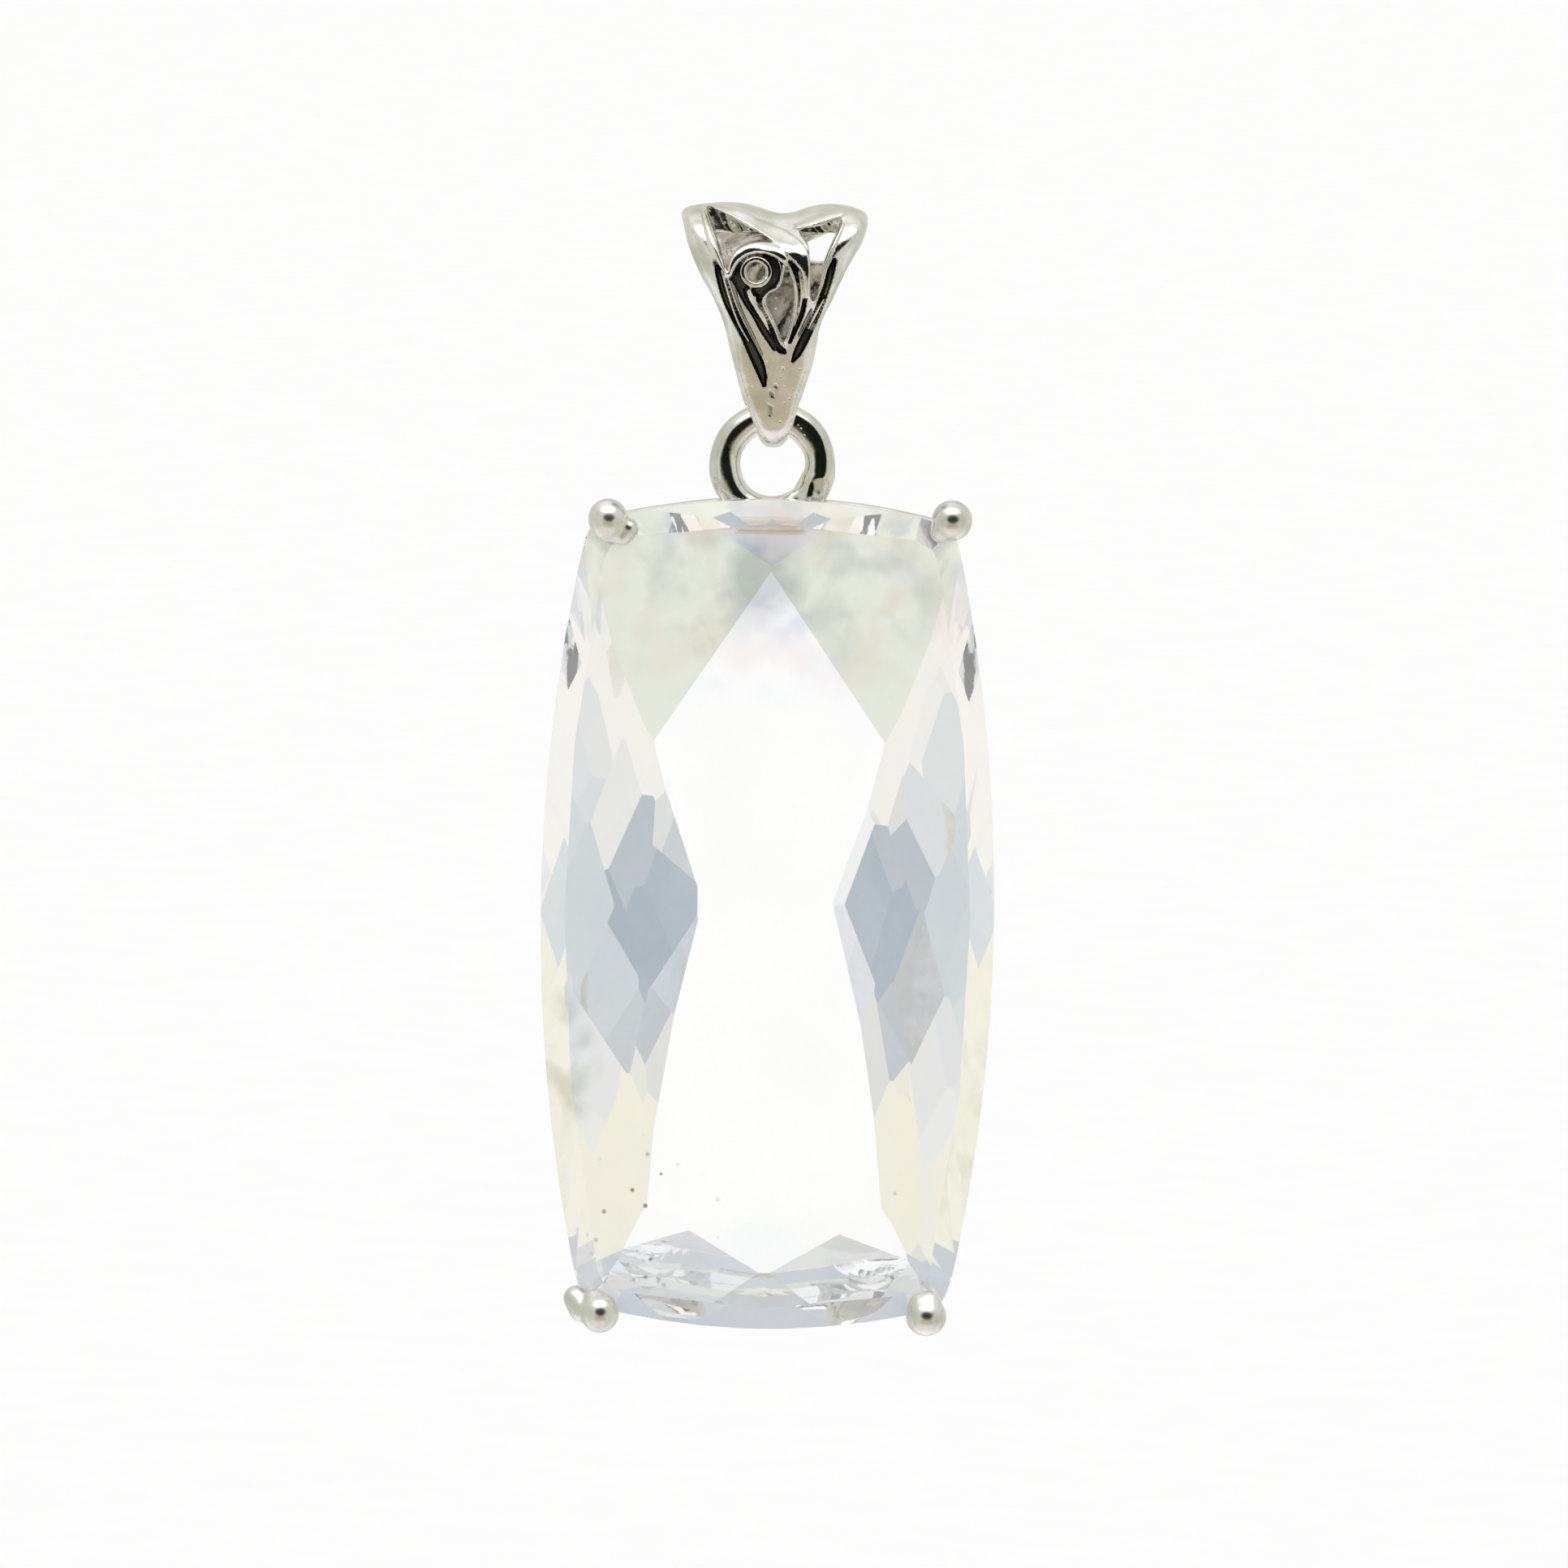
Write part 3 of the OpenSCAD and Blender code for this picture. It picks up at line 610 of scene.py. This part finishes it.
def polished_silver(name, oxide_and_shade_share, ripple, tip_haze):
    """Sterling silver, cast or drawn, polished and rhodium plated. Near-white mirror, with a faint haze of
    fine scratches, ripples and small pits, dark oxide together with painted shade where the polishing wheel
    doesn't reach, and ball tips dulled by the pusher that set the stone."""
    made, tree = new_material(name)
    place = in_millimetres(tree)
    patch_size, ripple_size, pit_size, pit_deep = 0.9, 0.35, 0.32, 0.03
    haze = node(tree, "ShaderNodeTexNoise", {"Vector": place, "Scale": 1 / patch_size, "Detail": 4.0})
    hazy = haze.outputs["Fac"]
    swirls = node(tree, "ShaderNodeTexNoise", {"Vector": place, "Scale": 1 / ripple_size, "Detail": 3.0})
    pits = node(tree, "ShaderNodeTexVoronoi", {"Vector": place, "Scale": 1 / pit_size})
    # Pits are low spots, and only the hazier patches have them.
    spots = node(tree, "ShaderNodeMapRange", {"Value": pits.outputs["Distance"], "From Max": 0.16})
    unpitted = node(tree, "ShaderNodeMapRange", {"Value": hazy, "From Min": 0.5, "From Max": 0.62,
                                                 "To Min": 1.0, "To Max": 0.0})
    pit = node(tree, "ShaderNodeMath", {0: spots.outputs[0], 1: unpitted.outputs[0]}, operation="MAXIMUM")
    # Oxide and painted shade: the recess depth, times its share, darkens the colour towards #23261F and
    # roughens it.
    recess = node(tree, "ShaderNodeAttribute", attribute_name="recess")
    sunk = node(tree, "ShaderNodeMath", {0: recess.outputs["Fac"], 1: oxide_and_shade_share}, operation="MULTIPLY")
    patches = node(tree, "ShaderNodeMapRange", {"Value": hazy, "From Min": 0.35, "From Max": 0.65})
    tone = node(tree, "ShaderNodeMix", {SHARE: patches.outputs[0], FIRST: linear("#DEDCD3"),
                                        SECOND: linear("#FAF7F4")}, data_type="RGBA")
    base = node(tree, "ShaderNodeMix", {SHARE: sunk.outputs[0], FIRST: tone.outputs[MIXED],
                                        SECOND: linear("#23261F")}, data_type="RGBA")
    rough = node(tree, "ShaderNodeMapRange", {"Value": hazy, "From Min": 0.3, "From Max": 0.7,
                                              "To Min": 0.05, "To Max": 0.11})
    # The ball tips are what stands well in front of the girdle.
    depth = node(tree, "ShaderNodeSeparateXYZ", {0: place}).outputs["Y"]
    dulled = node(tree, "ShaderNodeMapRange", {"Value": depth, "From Min": GIRDLE_Y - 0.3,
                                               "From Max": GIRDLE_Y - 0.6, "To Max": tip_haze})
    dull = node(tree, "ShaderNodeMath", {0: rough.outputs[0], 1: dulled.outputs[0]}, operation="ADD")
    rougher = node(tree, "ShaderNodeMath", {0: sunk.outputs[0], 1: 0.3, 2: dull.outputs[0]},
                   operation="MULTIPLY_ADD")
    wave = node(tree, "ShaderNodeBump", {"Height": swirls.outputs["Fac"], "Strength": 0.25,
                                         "Distance": ripple})
    dents = node(tree, "ShaderNodeBump", {"Height": pit.outputs[0], "Strength": 0.6,
                                          "Distance": pit_deep * MM, "Normal": wave.outputs[0]})
    shader = node(tree, "ShaderNodeBsdfPrincipled", {"Base Color": base.outputs[MIXED], "Metallic": 1.0,
                                                     "Roughness": rougher.outputs[0],
                                                     "Normal": dents.outputs[0]})
    node(tree, "ShaderNodeOutputMaterial", {"Surface": shader.outputs[0]})
    return made


def milky_quartz():
    """Rock crystal with a milky haze, cut and polished. Clear enough to show the pavilion's facets, with a
    soft white veil over them, faint clouds and a few dark specks."""
    made, tree = new_material("milky_quartz")
    place = in_millimetres(tree)
    cloud_size, wisp_size, blush_size, speck_size, scratch_size = 6, 1.8, 2.6, 0.7, 0.5
    clouds = node(tree, "ShaderNodeTexNoise", {"Vector": place, "Scale": 1 / cloud_size, "Detail": 5.0,
                                               "Roughness": 0.6})
    veil = node(tree, "ShaderNodeMapRange", {"Value": clouds.outputs["Fac"], "From Min": 0.3,
                                             "From Max": 0.7, "To Min": 0.30, "To Max": 0.42})
    # The veil is laid once, where light comes into the stone, and not again inside it.
    side = node(tree, "ShaderNodeNewGeometry")
    outer = node(tree, "ShaderNodeMath", {0: 1.0, 1: side.outputs["Backfacing"]}, operation="SUBTRACT")
    veiled = node(tree, "ShaderNodeMath", {0: veil.outputs[0], 1: outer.outputs[0]}, operation="MULTIPLY")
    clear = node(tree, "ShaderNodeMath", {0: 1.0, 1: veiled.outputs[0]}, operation="SUBTRACT")

    def reaches(centre, size):
        """1 round a place in the stone and 0 away from it, both given in millimetres."""
        far = how_far(tree, place, centre, size)
        near = node(tree, "ShaderNodeMapRange", {"Value": far, "From Min": 0.6, "From Max": 1.0,
                                                 "To Min": 1.0, "To Max": 0.0})
        return near.outputs[0]

    def tinted(behind, pattern, low, high, where, colour):
        """Lays a colour over what is behind it where a pattern runs from low to high, round one place."""
        shows = node(tree, "ShaderNodeMapRange", {"Value": pattern, "From Min": low, "From Max": high})
        here = node(tree, "ShaderNodeMath", {0: shows.outputs[0], 1: where}, operation="MULTIPLY")
        mixed = node(tree, "ShaderNodeMix", {SHARE: here.outputs[0], FIRST: behind,
                                             SECOND: linear(colour)}, data_type="RGBA")
        return mixed.outputs[MIXED]

    wisps = node(tree, "ShaderNodeTexNoise", {"Vector": place, "Scale": 1 / wisp_size, "Detail": 2.5})
    blush = node(tree, "ShaderNodeTexNoise", {"Vector": place, "Scale": 1 / blush_size, "Detail": 2.0,
                                              "W": 3.0}, noise_dimensions="4D")
    specks = node(tree, "ShaderNodeTexVoronoi", {"Vector": place, "Scale": 1 / speck_size})
    top_end = reaches((0, GIRDLE_Y, STONE_Z + HALF_L + 1), (14, 9, 9.5))
    left_edge = reaches((-7.9, GIRDLE_Y, STONE_Z - 6), (1.6, 3, 3.4))
    low_left = reaches((-4.4, GIRDLE_Y, STONE_Z - 12), (3.2, 3, 3.6))
    peak = reaches((-0.2, GIRDLE_Y - 1.3, STONE_Z + HALF_L - 3.0), (1.9, 2.0, 2.1))
    body = tinted(WHITE, wisps.outputs["Fac"], 0.48, 0.66, top_end, "#DFE4EA")
    body = tinted(body, wisps.outputs["Fac"], 0.2, 0.45, peak, "#BCC5CA")
    body = tinted(body, blush.outputs["Fac"], 0.5, 0.66, top_end, "#F4E6E0")
    body = tinted(body, wisps.outputs["Fac"], 0.4, 0.6, left_edge, "#D3D6CE")
    body = tinted(body, specks.outputs["Distance"], 0.16, 0.1, low_left, "#77726A")
    scratches = node(tree, "ShaderNodeTexNoise", {"Vector": place, "Scale": 1 / scratch_size, "Detail": 2.0})
    rough = node(tree, "ShaderNodeMapRange", {"Value": scratches.outputs["Fac"], "From Min": 0.4,
                                              "From Max": 0.8, "To Max": 0.03})
    bump = node(tree, "ShaderNodeBump", {"Height": scratches.outputs["Fac"], "Strength": 0.02,
                                         "Distance": 0.01 * MM})
    shader = node(tree, "ShaderNodeBsdfPrincipled", {"Base Color": body, "IOR": 1.544,
                                                     "Transmission Weight": clear.outputs[0],
                                                     "Roughness": rough.outputs[0],
                                                     "Normal": bump.outputs[0]})
    node(tree, "ShaderNodeOutputMaterial", {"Surface": shader.outputs[0]})
    return made


def matt_board():
    """Painted board for the floor. Matt white, with the faint mottle of its paint."""
    made, tree = new_material("matt_board")
    place = in_millimetres(tree)
    grain_size = 4
    grain = node(tree, "ShaderNodeTexNoise", {"Vector": place, "Scale": 1 / grain_size, "Detail": 3.0})
    tone = node(tree, "ShaderNodeMapRange", {"Value": grain.outputs["Fac"], "To Min": 0.97})
    shader = node(tree, "ShaderNodeBsdfPrincipled", {"Base Color": tone.outputs[0], "Roughness": 0.9})
    node(tree, "ShaderNodeOutputMaterial", {"Surface": shader.outputs[0]})
    return made


# Light: a white tent all round, with what the metal and the stone see in it.
def panel(tree, way, behind, colour, centre, size, edge):
    """Paints a soft-edged patch of the tent over what is behind it, round a direction."""
    far = how_far(tree, way, centre, size)
    shows = node(tree, "ShaderNodeMapRange", {"Value": far, "From Min": 1 - edge, "From Max": 1 + edge,
                                              "To Min": 1.0, "To Max": 0.0},
                 interpolation_type="SMOOTHSTEP")
    mixed = node(tree, "ShaderNodeMix", {SHARE: shows.outputs[0], FIRST: behind, SECOND: colour},
                 data_type="RGBA")
    return mixed.outputs[MIXED]


def bright(hex_colour, times):
    """A colour of light, made so many times as strong."""
    return tuple(c * times for c in linear(hex_colour)[:3]) + (1.0,)


# Patches of the tent as colour, strength, direction, size and soft edge, each laid over the ones before.
# A size of WIDE reaches all the way across.
WIDE = 9.0
METAL_SEES = [
    ("#DADFD5", 1.0, (0, -0.9, 0), (WIDE, 0.95, WIDE), 0.25),  # the near half
    ("#D6D7CC", 1.0, (0, 0.6, 0.1), (WIDE, 0.7, 0.75), 0.3),  # the far half, at the pendant's height
    ("#D2D3C8", 1.0, (0.85, -0.5, 0), (0.2, 0.5, 0.7), 0.8),  # the right, in front
    ("#CBCEC3", 1.0, (-0.85, -0.5, 0), (0.2, 0.5, 0.7), 0.8),  # the left, in front
    ("#C6BDA8", 1.0, (0, -0.85, -0.4), (0.6, 0.5, 0.3), 0.3),  # warm, low in front
    ("#F4EEEC", 1.0, (0, -0.45, -0.95), (0.8, 0.5, 0.3), 0.6),  # light from below
    ("#FFFFFF", 1.6, (0, -0.5, 0.82), (0.7, 0.5, 0.26), 0.3),  # the strong light overhead
    ("#171A14", 1.0, (0.1, -0.97, 0.2), (0.6, 0.5, 0.4), 0.25),  # the dark room by the camera
]
STONE_SEES = [
    ("#FFFFFF", 1.2, (0, 1, 0), (WIDE, 1.0, WIDE), 0.1),  # the far half, white
    ("#F9F8F4", 1.0, (0, -1, 0), (WIDE, 1.0, WIDE), 0.3),  # the near half, warm
    ("#FFFBE2", 1.0, (0, -0.7, 0.5), (WIDE, 0.6, 0.36), 0.25),  # cream, above in front
    ("#FFFBF2", 1.05, (0, -1, -0.62), (WIDE, 0.95, 0.36), 0.3),  # warm white, low in front
    ("#D2DCDF", 1.0, (0.85, -0.2, -0.12), (0.26, 0.6, 0.2), 0.4),  # bluish, on the right
    ("#D2DCDF", 1.0, (-0.85, -0.2, -0.12), (0.26, 0.6, 0.2), 0.4),  # bluish, on the left
    ("#94A8B7", 1.0, (0, -1, -0.04), (0.5, 0.32, 0.19), 0.55),  # the dark room by the camera
    ("#D6DEE2", 1.0, (0, -0.35, -0.85), (0.35, 0.3, 0.2), 0.3),  # bluish, from below
    ("#BDC9D3", 1.0, (0, 0, 0.9), (0.5, 0.8, 0.3), 0.2),  # blue, overhead
    ("#CAD5DC", 1.0, (0, 0.55, 0.6), (0.45, 0.3, 0.22), 0.3),  # blue, above at the back
    ("#EAEFDC", 1.05, (0, 0.75, -0.75), (WIDE, 0.9, 0.39), 0.08),  # a greenish floor at the back
]


def light_tent():
    """The tent's light. The metal mirrors one painting of it, the stone gathers another, and it is plain
    white to the camera and to matt things."""
    world = bpy.data.worlds.new("light_tent")
    world.use_nodes = True
    tree = world.node_tree
    tree.nodes.clear()
    way = node(tree, "ShaderNodeTexCoord").outputs["Generated"]
    seen = {}
    for name, patches in (("metal", METAL_SEES), ("stone", STONE_SEES)):
        seen[name] = WHITE
        for hex_colour, times, centre, size, edge in patches:
            seen[name] = panel(tree, way, seen[name], bright(hex_colour, times), centre, size, edge)
    ray = node(tree, "ShaderNodeLightPath")
    tent = WHITE
    for which, colour in (("Is Glossy Ray", seen["metal"]), ("Is Transmission Ray", seen["stone"]),
                          ("Is Camera Ray", WHITE)):
        mixed = node(tree, "ShaderNodeMix", {SHARE: ray.outputs[which], FIRST: tent, SECOND: colour},
                     data_type="RGBA")
        tent = mixed.outputs[MIXED]
    glow = node(tree, "ShaderNodeBackground", {"Color": tent, "Strength": 1.0})
    node(tree, "ShaderNodeOutputWorld", {"Surface": glow.outputs[0]})
    bpy.context.scene.world = world


def pale_floor():
    """The floor under the pendant. The camera sees it, but the metal and the stone see only the tent."""
    mesh = bpy.data.meshes.new("floor")
    reach, drop = 3000, -75
    corners = [(-1, -1), (1, -1), (1, 1), (-1, 1)]
    mesh.from_pydata([(a * reach * MM, b * reach * MM, drop * MM) for a, b in corners], [], [(0, 1, 2, 3)])
    floor = bpy.data.objects.new("floor", mesh)
    floor.data.materials.append(matt_board())
    floor.visible_glossy = False
    floor.visible_transmission = False
    floor.visible_diffuse = False
    bpy.context.scene.collection.objects.link(floor)


# Camera: a long lens, a little above the pendant, held slightly askew. Its place is given by what it takes
# in from side to side at the point that it aims at, how far off and how many degrees up it stands, and
# how many degrees it is rolled.
FRAME_W = 62.3
CAMERA_FAR = 600.0
CAMERA_UP = 6.0
CAMERA_ROLL = 0.65
AIM = Vector((0.60, 0.0, -21.97))


def place_camera():
    """Makes the camera that takes the pendant from the front, and sets it as the scene's."""
    lens = bpy.data.cameras.new("camera")
    lens.sensor_width = 36.0
    lens.lens = lens.sensor_width * CAMERA_FAR / FRAME_W
    lens.clip_start = 50 * MM
    lens.clip_end = 20000 * MM
    camera = bpy.data.objects.new("camera", lens)
    up = math.radians(CAMERA_UP)
    back = Vector((0, -math.cos(up), math.sin(up)))
    camera.location = (AIM + back * CAMERA_FAR) * MM
    level = (-back).to_track_quat("-Z", "Y")
    camera.rotation_mode = "QUATERNION"
    camera.rotation_quaternion = level @ Euler((0, 0, math.radians(CAMERA_ROLL))).to_quaternion()
    bpy.context.scene.collection.objects.link(camera)
    bpy.context.scene.camera = camera


# Pieces: the size of their meshes' cells, the corners of the box that the bail is worked out in, and the
# margin of the setting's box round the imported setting
CELL_BAIL = 0.06
CELL_SETTING = 0.075
BAIL_LOW, BAIL_HIGH = (-4.0, -3.2, -9.1), (4.0, 3.0, 1.7)
MARGIN = Vector((0.4, 0.4, 0.4))
place_camera()

bail = metal_mesh("bail_casting", bail_field, BAIL_LOW, BAIL_HIGH, CELL_BAIL, bail_recess)
# The bail's recesses are darkened almost to black, with oxide and painted shade.
bail.data.materials.append(polished_silver("cast_silver_polished", 0.92, 0.06 * MM, 0.0))
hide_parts("bail")
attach(bail, "bail")

setting_low, setting_high = (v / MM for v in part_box("setting"))
setting = metal_mesh("soldered_setting", clear_of_stone(setting_field), tuple(setting_low - MARGIN),
                     tuple(setting_high + MARGIN), CELL_SETTING)
setting.data.materials.append(polished_silver("wire_silver_polished", 0.0, 0.02 * MM, 0.16))
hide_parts("setting")
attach(setting, "drop")

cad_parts["stone"].material_slots[0].material = milky_quartz()

pale_floor()
light_tent()

# Light meets many facets before it leaves the stone, and is mirrored several times between silver parts.
THROUGH_STONE, OFF_SILVER = 24, 8
scene = bpy.context.scene
scene.view_settings.view_transform = "Standard"
scene.cycles.max_bounces = THROUGH_STONE
scene.cycles.transmission_bounces = THROUGH_STONE
scene.cycles.glossy_bounces = OFF_SILVER
